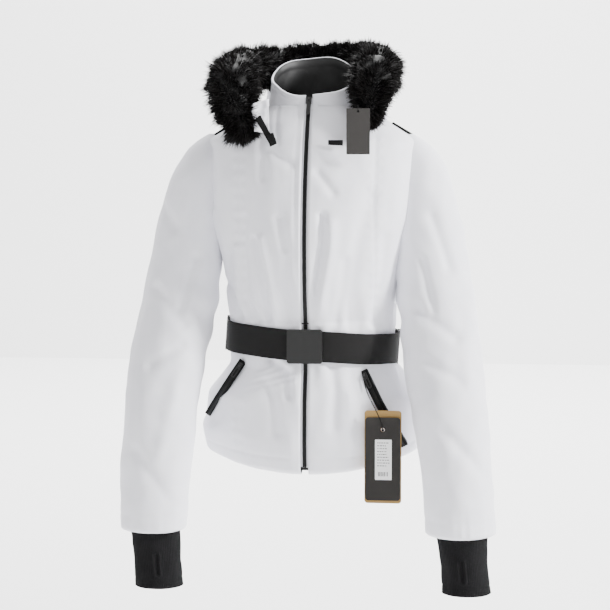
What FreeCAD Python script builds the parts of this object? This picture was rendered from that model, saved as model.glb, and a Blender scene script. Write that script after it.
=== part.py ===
"""Women's ski jacket, as worn: padded shell, raised collar, hood folded back with its fur trim,
belt, zips, knit cuffs and retail tags.

Millimetres.  +X is the wearer's left, -Y the front, +Z up.  The origin is the hanger loop at the
centre back of the neck.
"""
import FreeCAD, Part
import Sketcher
import math
import os

doc = FreeCAD.newDocument("ski_jacket")
V = FreeCAD.Vector

# ---------------------------------------------------------------- driving dimensions
sheet = doc.addObject("Spreadsheet::Sheet", "size")
size = {}


def cell(**values):
    """Writes each named value into the sheet, one row each, and keeps it for this script."""
    for name, value in values.items():
        row = len(size) + 1
        sheet.set(f"A{row}", name)
        sheet.set(f"B{row}", str(value))
        sheet.setAlias(f"B{row}", name)
        size[name] = value


def station(name, level, half_width, front, back):
    """One level of the torso or collar: its height, half width, and front and back faces."""
    cell(**{f"{name}_level": level, f"{name}_half_width": half_width,
            f"{name}_front": front, f"{name}_back": back})


# The front zip follows one arc in the middle plane, from the collar's top to the belt.
cell(zip_radius=435, zip_centre_y=220, zip_centre_z=-226, zip_top_level=16, zip_waist_level=-352)


def zip_front(level):
    """The front face's y at a level on the front zip's arc."""
    rise = level - size["zip_centre_z"]
    return round(size["zip_centre_y"] - math.sqrt(size["zip_radius"] ** 2 - rise ** 2), 2)


cell(shell_thick=1.2, wadding_thick=4, lining_thick=0.8, fabric_gap=0.4)
station("hem", -606, 179, -206, 38)
station("hip", -545, 184, -212, 42)
station("peplum", -480, 178, -210, 36)
station("waist_low", -428, 139, zip_front(-352), 14)
station("waist_high", -346, 138, zip_front(-352), 14)
station("midriff", -300, 143, zip_front(-300), 18)
station("ribs", -245, 152, zip_front(-245), 24)
station("chest", -185, 168, zip_front(-185), 28)
station("armhole", -115, 180, zip_front(-115), 26)
station("shoulder", -56, 178, zip_front(-56), 20)
station("trapeze", -28, 132, -160, 16)
station("neck", 2, 76, -140, 8)
station("collar_low", -72, 86, zip_front(-72), 15)
station("collar_mid", 18, 74, zip_front(18), 10.5)
station("collar_top", 92, 72, -136, 9)
TORSO = ["hem", "hip", "peplum", "waist_low", "waist_high", "midriff", "ribs", "chest",
         "armhole", "shoulder", "trapeze", "neck"]
COLLAR = ["collar_low", "collar_mid", "collar_top"]
cell(hem_drop_radius=598, hem_front_level=-592, front_gap=5.5, side_seam=112, back_seam=128)
cell(collar_front_rise=18, collar_tilt=24, collar_cloth=1.4)
cell(opening_half_width=16)


def sleeve_station(name, level, y, half_width, right_x, left_x):
    """One level of both sleeves: its height, depth in y, half width, and each side's centre."""
    cell(**{f"{name}_level": level, f"{name}_y": y, f"{name}_half_width": half_width,
            f"{name}_right_x": right_x, f"{name}_left_x": left_x})


sleeve_station("cap", -46, -82, 20, -181, 172)
sleeve_station("deltoid", -105, -84, 50, -186, 178)
sleeve_station("biceps", -190, -90, 58, -203, 190)
sleeve_station("inner_arm", -250, -100, 60, -212, 201)
sleeve_station("elbow", -320, -118, 64, -221, 209)
sleeve_station("forearm", -400, -150, 64, -232, 220)
sleeve_station("mid_forearm", -489, -182, 61, -241, 235)
sleeve_station("lower_arm", -585, -202, 59, -246, 247)
sleeve_station("wrist", -686, -214, 56, -248, 256)
SLEEVE = ["cap", "deltoid", "biceps", "inner_arm", "elbow", "forearm", "mid_forearm",
          "lower_arm", "wrist"]
cell(sleeve_roundness=0.96, armhole_floor=-222, sleeve_gap=1.4, sleeve_range=45, sleeve_step=9)
cell(cuff_top_level=-668, cuff_low_level=-784, cuff_top_half=43, cuff_low_half=39.5, cuff_thick=3,
     cuff_low_y=-216, cuff_low_right_x=-240, cuff_low_left_x=265, thumb_slot_width=9,
     thumb_slot_height=30, thumb_slot_level=-744)
doc.recompute()


# ---------------------------------------------------------------- helpers
def place(name, inset=""):
    """Expressions for the middle of a torso level and its half depth."""
    middle = f"(size.{name}_front + size.{name}_back) / 2"
    depth = f"(size.{name}_back - size.{name}_front) / 2{inset}"
    return middle, depth


def ellipse(label, half_x, half_y, x, y, z, deep=False):
    """A level ellipse whose sizes are expressions on the sheet; a deep one is longer along Y."""
    ring = doc.addObject("Part::Ellipse", label)
    if deep:
        ring.Placement.Rotation = FreeCAD.Rotation(V(0, 0, 1), 90)
        half_x, half_y = half_y, half_x
    for path, value in (("MajorRadius", half_x), ("MinorRadius", half_y), ("Placement.Base.x", x),
                        ("Placement.Base.y", y), ("Placement.Base.z", z)):
        ring.setExpression(path, value)
    return ring


def loft(label, rings):
    """A closed solid with straight walls from each ring to the next."""
    solid = doc.addObject("Part::Loft", label)
    solid.Sections = rings
    solid.Solid = True
    solid.Ruled = True
    return solid


def torso_loft(label, names, inset, deep=False):
    """The solid inside the torso's or collar's levels, pulled in by the inset expression."""
    rings = []
    for name in names:
        middle, depth = place(name, inset)
        rings.append(ellipse(f"{label}_{name}", f"size.{name}_half_width{inset}", depth,
                             "0", middle, f"size.{name}_level", deep))
    return loft(label, rings)


def sleeve_loft(label, side, inset):
    """The solid inside one sleeve's levels, pulled in by the inset expression."""
    rings = []
    for name in SLEEVE:
        half = f"size.{name}_half_width{inset}"
        depth = f"size.{name}_half_width * size.sleeve_roundness{inset}"
        rings.append(ellipse(f"{label}_{name}", half, depth, f"size.{name}_{side}_x",
                             f"size.{name}_y", f"size.{name}_level"))
    return loft(label, rings)


def cut(label, base, tool):
    made = doc.addObject("Part::Cut", label)
    made.Refine = False
    made.Base = base
    made.Tool = tool
    return made


def common(label, base, tool):
    made = doc.addObject("Part::Common", label)
    made.Refine = False
    made.Base = base
    made.Tool = tool
    return made


def fuse(label, *shapes):
    made = doc.addObject("Part::MultiFuse", label)
    made.Refine = False
    made.Shapes = list(shapes)
    return made


def block(label, corner, sides, turn=0, axis=V(0, 1, 0), about=V(0, 0, 0)):
    """A box from expressions for its low corner and its three sides, turned about a point."""
    box = doc.addObject("Part::Box", label)
    for path, value in zip(("Length", "Width", "Height"), sides):
        box.setExpression(path, str(value))
    base = V(*corner)
    turned = FreeCAD.Placement(V(0, 0, 0), FreeCAD.Rotation(axis, turn), about)
    box.Placement = turned.multiply(FreeCAD.Placement(base, FreeCAD.Rotation()))
    return box


parts = {}


def keep(node, thing):
    """Names a finished piece, which becomes one file."""
    thing.Label = node
    parts[node] = thing
    return thing


def feature(node, shape):
    """A finished piece from a shape made directly."""
    made = doc.addObject("Part::Feature", node)
    made.Shape = shape
    return keep(node, made)


SHELL = " - size.shell_thick"
WADDING = SHELL + " - size.wadding_thick"
LINING = WADDING + " - size.lining_thick"
CLEAR = " + size.fabric_gap"
SLEEVE_CLEAR = " + size.sleeve_gap"
REACH = 700

# ---------------------------------------------------------------- torso
outer = torso_loft("torso_outer", TORSO, "")
below_shell = torso_loft("torso_below_shell", TORSO, SHELL)
below_wadding = torso_loft("torso_below_wadding", TORSO, WADDING)
below_lining = torso_loft("torso_below_lining", TORSO, LINING)
torso_keepout = torso_loft("torso_keepout", TORSO, SLEEVE_CLEAR)
collar_keepout = torso_loft("collar_keepout", COLLAR, CLEAR, deep=True)

# The hem is highest at the sides: everything stays inside one wide cylinder along Y.
hem_round = doc.addObject("Part::Cylinder", "hem_round")
hem_round.setExpression("Radius", "size.hem_drop_radius")
hem_round.Height = REACH
hem_round.Placement = FreeCAD.Placement(
    V(0, REACH / 2, size["hem_front_level"] + size["hem_drop_radius"]), FreeCAD.Rotation(V(1, 0, 0), 90))

sleeve_inside = {}
for side in ("right", "left"):
    inside = sleeve_loft(f"sleeve_inside_{side}", side, LINING)
    above = block(f"armhole_above_{side}", (-REACH / 2, -REACH / 2, size["armhole_floor"]),
                  (REACH, REACH, REACH))
    sleeve_inside[side] = common(f"armhole_{side}", inside, above)
openings = fuse("torso_openings", collar_keepout, sleeve_inside["right"], sleeve_inside["left"])


def torso_layer(label, outside, inside):
    """One layer of the torso, open at the hem, neck and armholes."""
    tube = cut(f"{label}_tube", outside, inside)
    hemmed = common(f"{label}_hemmed", tube, hem_round)
    return cut(f"{label}_open", hemmed, openings)


shell = torso_layer("shell", outer, below_shell)
wadding = torso_layer("wadding", below_shell, below_wadding)
lining = torso_layer("lining", below_wadding, below_lining)
front_slot = block("front_slot", (-size["opening_half_width"], -REACH, -REACH),
                   ("2 * size.opening_half_width", REACH - 60, 2 * REACH))
keep("body_wadding", cut("body_wadding", wadding, front_slot))
keep("body_lining", cut("body_lining", lining, front_slot))

# The shell's panels meet at the side and back seams; the front ones leave room for the zip.
gap, side_x, back_x = size["front_gap"], size["side_seam"], size["back_seam"]
mid_y = -86
half = REACH / 2
zones = {
    "front_panel_right": ((-side_x, -half, -REACH), (side_x - gap, half + mid_y, 2 * REACH)),
    "front_panel_left": ((gap, -half, -REACH), (side_x - gap, half + mid_y, 2 * REACH)),
    "back_panel": ((-back_x, mid_y, -REACH), (2 * back_x, half, 2 * REACH)),
}
panel_blocks = {}
for node, (corner, sides) in zones.items():
    panel_blocks[node] = block(f"{node}_zone", corner, sides)
    keep(node, common(node, shell, panel_blocks[node]))
for side, low in (("right", -half), ("left", 0)):
    zone = block(f"side_{side}_zone", (low, -half, -REACH), (half, REACH, 2 * REACH))
    front = block(f"side_{side}_front", (-side_x, -half, -REACH), (2 * side_x, half + mid_y, 2 * REACH))
    back = panel_blocks["back_panel"]
    rest = cut(f"side_{side}_rest", zone, fuse(f"side_{side}_others", front, back))
    keep(f"side_panel_{side}", common(f"side_panel_{side}", shell, rest))

# ---------------------------------------------------------------- collar
collar_solid = torso_loft("collar_solid", COLLAR, "", deep=True)
collar_middle = torso_loft("collar_middle", COLLAR, " - size.collar_cloth", deep=True)
collar_inside = torso_loft("collar_inside", COLLAR, " - 2 * size.collar_cloth", deep=True)
collar_above = block("collar_above", (0, 0, 0), (REACH, REACH, REACH))
collar_above.Placement = FreeCAD.Placement(
    V(-half, zip_front(size["collar_front_rise"]) - 60, size["collar_front_rise"] - 60 * math.tan(
        math.radians(size["collar_tilt"]))), FreeCAD.Rotation(V(1, 0, 0), size["collar_tilt"]))
collar_cutter = fuse("collar_cutter", collar_above, front_slot)
for node, outside, inside in (("collar_outer", collar_solid, collar_middle),
                              ("collar_lining", collar_middle, collar_inside)):
    keep(node, cut(node, cut(f"{node}_ring", outside, inside), collar_cutter))

# ---------------------------------------------------------------- sleeves and cuffs
def torso_sweep(side, way):
    """The room that the torso takes up in the sleeve's own frame while the sleeve is raised."""
    pivot = V(size[f"cap_{side}_x"], size["cap_y"], size["cap_level"])
    turned = []
    for step in range(int(size["sleeve_range"] / size["sleeve_step"]) + 1):
        copy = torso_keepout.Shape.copy()
        copy.rotate(pivot, V(0, -way, 0), step * size["sleeve_step"])
        turned.append(copy)
    made = doc.addObject("Part::Feature", f"torso_sweep_{side}")
    made.Shape = turned[0].fuse(turned[1:])
    return made


doc.recompute()
for side, way in (("right", 1), ("left", -1)):
    sweep_room = torso_sweep(side, way)
    layers = [sleeve_loft(f"sleeve_{side}_{depth}", side, inset)
              for depth, inset in enumerate(("", SHELL, WADDING, LINING))]
    for node, depth in ((f"sleeve_shell_{side}", 0), (f"sleeve_wadding_{side}", 1),
                        (f"sleeve_lining_{side}", 2)):
        tube = cut(f"{node}_tube", layers[depth], layers[depth + 1])
        keep(node, cut(node, tube, sweep_room))
    half_low, half_top = "size.cuff_low_half", "size.cuff_top_half"
    cuff = []
    for name, inset in (("out", ""), ("in", " - size.cuff_thick")):
        top = ellipse(f"cuff_{side}_{name}_top", half_top + inset, f"{half_top} * 0.95{inset}",
                      f"size.wrist_{side}_x", "size.wrist_y", "size.cuff_top_level")
        low = ellipse(f"cuff_{side}_{name}_low", half_low + inset, f"{half_low} * 0.95{inset}",
                      f"size.cuff_low_{side}_x", "size.cuff_low_y", "size.cuff_low_level")
        cuff.append(loft(f"cuff_{side}_{name}", [top, low]))
    slot_x = size[f"cuff_low_{side}_x"] - size["thumb_slot_width"] / 2
    slot = block(f"thumb_slot_{side}", (slot_x, -REACH, size["thumb_slot_level"]),
                 ("size.thumb_slot_width", REACH + size["cuff_low_y"], "size.thumb_slot_height"))
    keep(f"cuff_{side}", cut(f"cuff_{side}", cut(f"cuff_{side}_tube", *cuff), slot))

# ---------------------------------------------------------------- plates: sketched and padded
cell(puller_width=6, puller_length=30, puller_thick=1.2, puller_hole=1.6,
     tag_dark_width=57, tag_dark_height=136, tag_kraft_width=60, tag_kraft_height=152,
     tag_thick=0.9, tag_hole=3.4, tag_corner=5, sticker_width=27, sticker_height=66,
     neck_tag_width=38, neck_tag_height=74, buckle_width=58, buckle_height=56, buckle_thick=3,
     buckle_corner=4, label_width=46, label_height=22, label_thick=0.5)


def plate(node, width, height, thick, corner=0, hole=0, hole_drop=0, at=V(0, 0, 0), turn=(0, 0)):
    """A flat piece facing -Y, sketched about its top middle and padded towards +Y.

    width, height, thick, corner and hole are expressions; turn is (about Z, then about X).
    """
    body = doc.addObject("PartDesign::Body", node)
    sketch = body.newObject("Sketcher::SketchObject", f"{node}_outline")
    plane = [f for f in body.Origin.OriginFeatures if f.Role == "XZ_Plane"][0]
    sketch.AttachmentSupport = [(plane, "")]
    sketch.MapMode = "FlatFace"
    corners = [V(-5, 0, 0), V(5, 0, 0), V(5, -9, 0), V(-5, -9, 0)]
    for start, end in zip(corners, corners[1:] + corners[:1]):
        sketch.addGeometry(Part.LineSegment(start, end))
    for line in range(4):
        sketch.addConstraint(Sketcher.Constraint("Coincident", line, 2, (line + 1) % 4, 1))
    for line, kind in ((0, "Horizontal"), (2, "Horizontal"), (1, "Vertical"), (3, "Vertical")):
        sketch.addConstraint(Sketcher.Constraint(kind, line))
    sketch.addConstraint(Sketcher.Constraint("Symmetric", 0, 1, 0, 2, -1, 1))
    across = sketch.addConstraint(Sketcher.Constraint("DistanceX", 0, 1, 0, 2, 10))
    down = sketch.addConstraint(Sketcher.Constraint("DistanceY", 1, 2, 1, 1, 9))
    sketch.setExpression(f"Constraints[{across}]", str(width))
    sketch.setExpression(f"Constraints[{down}]", str(height))
    if hole:
        sketch.addGeometry(Part.Circle(V(0, -2, 0), V(0, 0, 1), 1))
        sketch.addConstraint(Sketcher.Constraint("PointOnObject", 4, 3, -2))
        radius = sketch.addConstraint(Sketcher.Constraint("Radius", 4, 1))
        drop = sketch.addConstraint(Sketcher.Constraint("DistanceY", 4, 3, -1, 1, 2))
        sketch.setExpression(f"Constraints[{radius}]", str(hole))
        sketch.setExpression(f"Constraints[{drop}]", str(hole_drop))
    pad = body.newObject("PartDesign::Pad", f"{node}_pad")
    pad.Profile = sketch
    pad.Reversed = True
    pad.setExpression("Length", str(thick))
    doc.recompute()
    if corner:
        uprights = [f"Edge{number}" for number, edge in enumerate(pad.Shape.Edges, 1)
                    if isinstance(edge.Curve, Part.Line)
                    and abs(edge.tangentAt(edge.FirstParameter).y) > 0.9]
        fillet = body.newObject("PartDesign::Fillet", f"{node}_corners")
        fillet.Base = (pad, uprights)
        fillet.setExpression("Radius", str(corner))
    about_z, about_x = turn
    body.Placement = FreeCAD.Placement(at, FreeCAD.Rotation(V(0, 0, 1), about_z).multiply(
        FreeCAD.Rotation(V(1, 0, 0), about_x)))
    return keep(node, body)


# ---------------------------------------------------------------- front zip
cell(tape_low_x=3.2, tape_high_x=15, tape_depth_top=3.8, tape_depth_low=4.5, teeth_half=2.8,
     teeth_depth_top=2.2, teeth_depth_low=4.8, slider_half=4.6, slider_length=13,
     slider_top=1.6, slider_wall=1.2, zip_low_level=-586)
cy, cz, zip_r = size["zip_centre_y"], size["zip_centre_z"], size["zip_radius"]


def zip_angle(level):
    """Degrees up the arc from its centre's level."""
    return math.degrees(math.asin((level - cz) / zip_r))


def arc_point(radius, degrees, x=0):
    angle = math.radians(degrees)
    return V(x, cy - radius * math.cos(angle), cz + radius * math.sin(angle))


def arc_strip(low_x, high_x, depth_top, depth_low, high_degrees, low_degrees):
    """A strip of the front zip's arc, between two depths behind the cloth's face."""
    corners = [arc_point(zip_r - depth_top, high_degrees, low_x),
               arc_point(zip_r - depth_top, high_degrees, high_x),
               arc_point(zip_r - depth_low, high_degrees, high_x),
               arc_point(zip_r - depth_low, high_degrees, low_x)]
    face = Part.Face(Part.makePolygon(corners + corners[:1]))
    return face.revolve(V(0, cy, cz), V(1, 0, 0), high_degrees - low_degrees)


def straight_strip(low_x, high_x, depth_top, depth_low, levels):
    """The same strip below the belt, where the front runs straight between the levels."""
    def front(level):
        names = ["waist_low", "peplum", "hip", "hem"]
        for upper, lower in zip(names, names[1:]):
            top, low = size[f"{upper}_level"], size[f"{lower}_level"]
            if low <= level <= top:
                share = (top - level) / (top - low)
                return size[f"{upper}_front"] * (1 - share) + size[f"{lower}_front"] * share
        return size["waist_low_front"]
    outside = [V(low_x, front(level) + depth_top, level) for level in levels]
    inside = [V(low_x, front(level) + depth_low, level) for level in reversed(levels)]
    face = Part.Face(Part.makePolygon(outside + inside + outside[:1]))
    return face.extrude(V(high_x - low_x, 0, 0))


zip_top, zip_waist = zip_angle(size["zip_top_level"]), zip_angle(size["zip_waist_level"])
low_levels = [size["zip_waist_level"] - 1, size["waist_low_level"], size["peplum_level"],
              size["hip_level"], size["zip_low_level"]]
sliders = {}
for side, way in (("right", -1), ("left", 1)):
    for name, near, far, top, low in (
            ("tape", size["tape_low_x"], size["tape_high_x"], size["tape_depth_top"],
             size["tape_depth_low"]),
            ("teeth", 0.1, size["teeth_half"], size["teeth_depth_top"], size["teeth_depth_low"])):
        ends = sorted((way * near, way * far))
        upper = arc_strip(*ends, top, low, zip_top, zip_waist)
        lower = straight_strip(*ends, top, low, low_levels)
        feature(f"front_zip_{name}_{side}", Part.Compound([upper, lower]))

slide_low = zip_top - math.degrees(size["slider_length"] / zip_r)
cap_piece = arc_strip(-size["slider_half"], size["slider_half"], -size["slider_top"] , -0.2,
                      zip_top - 0.1, slide_low)
walls = [arc_strip(*sorted((way * (size["slider_half"] - size["slider_wall"]), way * size["slider_half"])),
                   -0.2, 1.8, zip_top - 0.1, slide_low) for way in (-1, 1)]
bail_at = arc_point(zip_r + size["slider_top"] + 1.6, zip_top - 0.9)
bail = Part.makeTorus(2.2, 0.7, bail_at, V(1, 0, 0))
feature("front_zip_slider", cap_piece.fuse(walls + [bail]).removeSplitter())
bail_angle = math.radians(zip_top - 0.9)
bail_out = V(0, -math.cos(bail_angle), math.sin(bail_angle))
bail_down = V(0, -math.sin(bail_angle), -math.cos(bail_angle))
plate("front_zip_puller", "size.puller_width", "size.puller_length", "size.puller_thick", 2,
      "size.puller_hole", 2.6, at=bail_at - bail_down * 0.4 + bail_out * size["puller_thick"] / 2,
      turn=(0, 0.9 - zip_top))
box_levels = [size["zip_low_level"] - 0.5, size["zip_low_level"] - 5]
feature("front_zip_box", straight_strip(-7, 7, 1.6, 4.8, box_levels))

# ---------------------------------------------------------------- belt and buckle
cell(belt_level=-388, belt_height=50, belt_thick=2.4, belt_gap=3.2, belt_tilt=4, loop_width=6,
     loop_height=58, loop_thick=1.2)
belt_centre = V(0, (size["waist_low_front"] + size["waist_low_back"]) / 2, size["belt_level"])
belt_half_x = size["waist_low_half_width"] + size["belt_gap"]
belt_half_y = (size["waist_low_back"] - size["waist_low_front"]) / 2 + size["belt_gap"]
tilt = FreeCAD.Rotation(V(0, 1, 0), size["belt_tilt"])


def band(grow, height):
    """A filled elliptical slab round the waist, square to Z, before the belt's tilt."""
    ring = Part.Ellipse(V(0, 0, -height / 2), belt_half_x + grow, belt_half_y + grow).toShape()
    return Part.Face(Part.Wire([ring])).extrude(V(0, 0, height))


belt = feature("belt_webbing", band(size["belt_thick"], size["belt_height"]).cut(band(0, 90)))
belt.Placement = FreeCAD.Placement(belt_centre, tilt)
belt_front = belt_centre.y - belt_half_y - size["belt_thick"]
base_at = V(0, belt_front - size["buckle_thick"] - 0.3, size["belt_level"] + size["buckle_height"] / 2)
plate("buckle_base", "size.buckle_width - 6", "size.buckle_height - 4", "size.buckle_thick", 2,
      at=base_at - V(0, 0, 2))
plate("buckle_plate", "size.buckle_width", "size.buckle_height", "size.buckle_thick",
      "size.buckle_corner", at=base_at - V(0, size["buckle_thick"] + 0.4, 0))
for side, way in (("right", -1), ("left", 1)):
    reach = belt_half_x + size["belt_thick"] + 0.4
    outside = Part.makeBox(size["loop_thick"], size["loop_width"], size["loop_height"],
                           V(reach, -size["loop_width"] / 2, -size["loop_height"] / 2))
    foot = reach + size["loop_thick"] - belt_half_x + 0.4
    feet = [Part.makeBox(foot, size["loop_width"], size["loop_thick"],
                         V(belt_half_x - 0.4, -size["loop_width"] / 2, level))
            for level in (-size["loop_height"] / 2, size["loop_height"] / 2 - size["loop_thick"])]
    loop = outside.fuse(feet).removeSplitter()
    if way < 0:
        loop = loop.mirror(V(0, 0, 0), V(1, 0, 0))
    made = feature(f"belt_loop_{side}", loop)
    made.Placement = FreeCAD.Placement(belt_centre, tilt)

# ---------------------------------------------------------------- pocket zips
cell(pocket_welt_half=6.5, pocket_welt_top=1.8, pocket_teeth_half=1.7, pocket_teeth_top=2.6,
     pocket_slider_half=3.4, pocket_slider_length=9, pocket_slider_top=4.6,
     pocket_puller_width=7, pocket_puller_length=24, bag_middle_x=74, bag_half=36,
     bag_height=86, bag_low_level=-570)
cell(pocket_right_top_x=-107, pocket_right_top_level=-418, pocket_right_low_x=-168,
     pocket_right_low_level=-512, pocket_left_top_x=92, pocket_left_top_level=-430,
     pocket_left_low_x=157, pocket_left_low_level=-556)


def torso_front(x, level):
    """The y of the shell's front face at a place below the neck."""
    for lower, upper in zip(TORSO, TORSO[1:]):
        low, high = size[f"{lower}_level"], size[f"{upper}_level"]
        if low <= level <= high:
            share = (level - low) / (high - low)
            half, front, back = (size[f"{lower}_{k}"] * (1 - share) + size[f"{upper}_{k}"] * share
                                 for k in ("half_width", "front", "back"))
            return (front + back) / 2 - (back - front) / 2 * math.sqrt(1 - (x / half) ** 2)
    raise ValueError(f"no cloth at {level}")


def on_cloth(x, level):
    return V(x, torso_front(x, level), level)


cloth_keepout = torso_loft("cloth_keepout", TORSO, CLEAR)
doc.recompute()
pocket_lines = {}
for side in ("right", "left"):
    top = on_cloth(size[f"pocket_{side}_top_x"], size[f"pocket_{side}_top_level"])
    low = on_cloth(size[f"pocket_{side}_low_x"], size[f"pocket_{side}_low_level"])
    middle = on_cloth(0.55 * top.x + 0.45 * low.x, (top.z + low.z) / 2)
    top, middle, low = (p + V(p.x, p.y - mid_y, 0).normalize() * stand
                        for p, stand in ((top, 1.0), (middle, 5.0), (low, 2.5)))
    arc = Part.Circle(top, middle, low)
    centre, radius = arc.Center, arc.Radius
    out, other = (top - centre).normalize(), (low - centre).normalize()
    axis = out.cross(other).normalize()
    sweep = math.degrees(out.getAngle(other))

    def strip(half, low_r, high_r, start=0.0, turn=sweep):
        """A strip along the pocket's arc, between two heights over the cloth."""
        first = FreeCAD.Rotation(axis, start).multVec(out)
        ends = [centre + first * (radius + high) + axis * across
                for high, across in ((low_r, -half), (low_r, half), (high_r, half), (high_r, -half))]
        return Part.Face(Part.makePolygon(ends + ends[:1])).revolve(centre, axis, turn)

    welt = strip(size["pocket_welt_half"], -12, size["pocket_welt_top"])
    feature(f"pocket_zip_tape_{side}", welt.cut(cloth_keepout.Shape))
    teeth = strip(size["pocket_teeth_half"], size["pocket_welt_top"], size["pocket_teeth_top"], 1, sweep - 2)
    feature(f"pocket_zip_teeth_{side}", teeth)
    start = 2.0
    turn = math.degrees(size["pocket_slider_length"] / radius)
    body = strip(size["pocket_slider_half"], size["pocket_teeth_top"] + 0.3, size["pocket_slider_top"],
                 start, turn)
    at_degrees = start + turn / 2
    up = FreeCAD.Rotation(axis, at_degrees).multVec(out)
    along = axis.cross(up)
    ring_at = centre + up * (radius + size["pocket_slider_top"] + 1.6)
    ring = Part.makeTorus(2.2, 0.7, ring_at, axis)
    feature(f"pocket_slider_{side}", body.fuse(ring).removeSplitter())
    width, length = size["pocket_puller_width"], size["pocket_puller_length"]
    puller = Part.makeBox(width, size["puller_thick"], length,
                          V(-width / 2, -size["puller_thick"] / 2, -length))
    puller = puller.makeFillet(2.2, [e for e in puller.Edges if abs(e.tangentAt(e.FirstParameter).y) > 0.9])
    hole = Part.makeCylinder(size["puller_hole"], 10, V(0, -5, -2.6), V(0, 1, 0))
    window = Part.makeBox(width - 4, 10, length - 10, V(-width / 2 + 2, -5, 2.5 - length))
    puller = puller.cut(hole.fuse(window))
    frame = FreeCAD.Matrix(axis.x, -up.x, -along.x, 0, axis.y, -up.y, -along.y, 0,
                           axis.z, -up.z, -along.z, 0, 0, 0, 0, 1)
    turned = FreeCAD.Placement(frame)
    made = feature(f"pocket_puller_{side}", puller)
    made.Placement = FreeCAD.Placement(ring_at + along * -0.4, turned.Rotation)
    bag_x = math.copysign(size["bag_middle_x"], top.x)
    bag_y = torso_front(size["bag_middle_x"] + size["bag_half"], -545) + 16
    bag = Part.makeBox(2 * size["bag_half"], 2, size["bag_height"],
                     V(bag_x - size["bag_half"], bag_y, size["bag_low_level"]))
    feature(f"pocket_bag_{side}", bag)

# ---------------------------------------------------------------- neck: loop, label, storm flap
cell(loop_half=23, loop_rise=4, loop_cloth=1.2, flap_depth_top=5.2, flap_depth_low=6.4)
strap = Part.makeBox(2 * size["loop_half"], size["loop_cloth"], 2 * size["loop_rise"],
                     V(-size["loop_half"], -size["loop_cloth"] / 2, -size["loop_rise"]))
for way in (-1, 1):
    foot_x = way * size["loop_half"] - (size["loop_cloth"] if way > 0 else 0)
    strap = strap.fuse(Part.makeBox(size["loop_cloth"], 4.4, 2 * size["loop_rise"],
                                    V(foot_x, 0, -size["loop_rise"])))
feature("hanger_loop", strap.removeSplitter())
plate("neck_label", "size.label_width", "size.label_height", "size.label_thick", 1,
      at=V(0, 4.6, -14))
feature("storm_flap", Part.Compound([
    arc_strip(-15.4, 15.4, size["flap_depth_top"], size["flap_depth_low"], zip_top - 0.2, zip_waist),
    straight_strip(-15.4, 15.4, size["flap_depth_top"], size["flap_depth_low"], low_levels)]))

# ---------------------------------------------------------------- shoulder piping
cell(piping_radius=1.5, piping_stand=2.3)
for side, way in (("right", -1), ("left", 1)):
    corner = V(way * size["trapeze_half_width"], -84, size["trapeze_level"])
    end = V(way * (size["shoulder_half_width"] - 14), -84, size["shoulder_level"] + 8.5)
    run = end - corner
    lift = V(-run.z * way, 0, run.x * way).normalize() * size["piping_stand"]
    feature(f"shoulder_piping_{side}", Part.makeCylinder(
        size["piping_radius"], run.Length, corner + lift, run))

# ---------------------------------------------------------------- hood: fur trim and folded bag
cell(fur_clear=5, bag_front=74, bag_cloth=2)
right_fur = [(-104, -166, -30, 30), (-118, -160, 4, 42), (-124, -132, 42, 47), (-126, -76, 56, 48),
             (-104, 0, 64, 44), (-56, 52, 70, 39), (0, 70, 72, 37)]
left_fur = [(60, 54, 72, 39), (106, 2, 68, 43), (124, -70, 60, 46), (120, -128, 44, 46),
            (114, -158, 8, 38), (108, -168, -20, 24)]
path = right_fur + left_fur
fur_rings = []
for number, (x, y, z, r) in enumerate(path):
    before, after = path[max(number - 1, 0)], path[min(number + 1, len(path) - 1)]
    way = V(*after[:3]) - V(*before[:3])
    fur_rings.append(Part.Wire([Part.makeCircle(r, V(x, y, z), way)]))
fur = Part.makeLoft(fur_rings, True, False)
fur_keepout = torso_loft("fur_keepout", TORSO, " + size.fur_clear")
collar_clear = torso_loft("collar_clear", COLLAR, " + 1.5", deep=True)
doc.recompute()
fur = fur.cut(fur_keepout.Shape).cut(collar_clear.Shape)
fur = max(fur.Solids, key=lambda solid: solid.Volume)
feature("hood_fur", fur)
bag_levels = [(31, 96, 104), (-30, 112, 116), (-100, 92, 104), (-150, 34, 84)]


def bag(inset, top_extra=0):
    rings = []
    for level, half_x, back in bag_levels:
        front = size["bag_front"] + inset
        middle, depth = (front + back - inset) / 2, (back - front - inset) / 2
        edge = Part.Ellipse(V(0, middle, level + (inset if level == -150 else 0)), half_x - inset, depth)
        rings.append(Part.Wire([edge.toShape()]))
    return Part.makeLoft(rings, True, True)


feature("hood_shell", bag(0).cut(bag(size["bag_cloth"])))
feature("hood_lining", bag(size["bag_cloth"]).cut(bag(2 * size["bag_cloth"])))

# ---------------------------------------------------------------- hood straps and neck tag
for node, at, turn_y, sides in (("hood_strap_right", V(-70, -187.5, -22), -27, (8, 1.2, 42)),
                                ("hood_strap_left", V(58, -184.8, -52), 62, (9, 1.2, 22))):
    strip_box = Part.makeBox(*sides, V(-sides[0] / 2, 0, -sides[2]))
    made = feature(node, strip_box)
    made.Placement = FreeCAD.Placement(at, FreeCAD.Rotation(V(0, 1, 0), turn_y))
snap_at = V(-70, -187.7, -22) + FreeCAD.Rotation(V(0, 1, 0), -27).multVec(V(0, 0, -36))
feature("strap_snap", Part.makeCylinder(5, 1.6, snap_at, V(0, -1, 0)))
tag_at = V(86, -200.5, -3)
plate("neck_tag", "size.neck_tag_width", "size.neck_tag_height", "size.tag_thick", 1.2, 2.0, 5, at=tag_at)
feature("neck_tag_tie", Part.makeTorus(5, 0.5, tag_at + V(0, 0.45, -0.2), V(1, 0, 0)))

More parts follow.
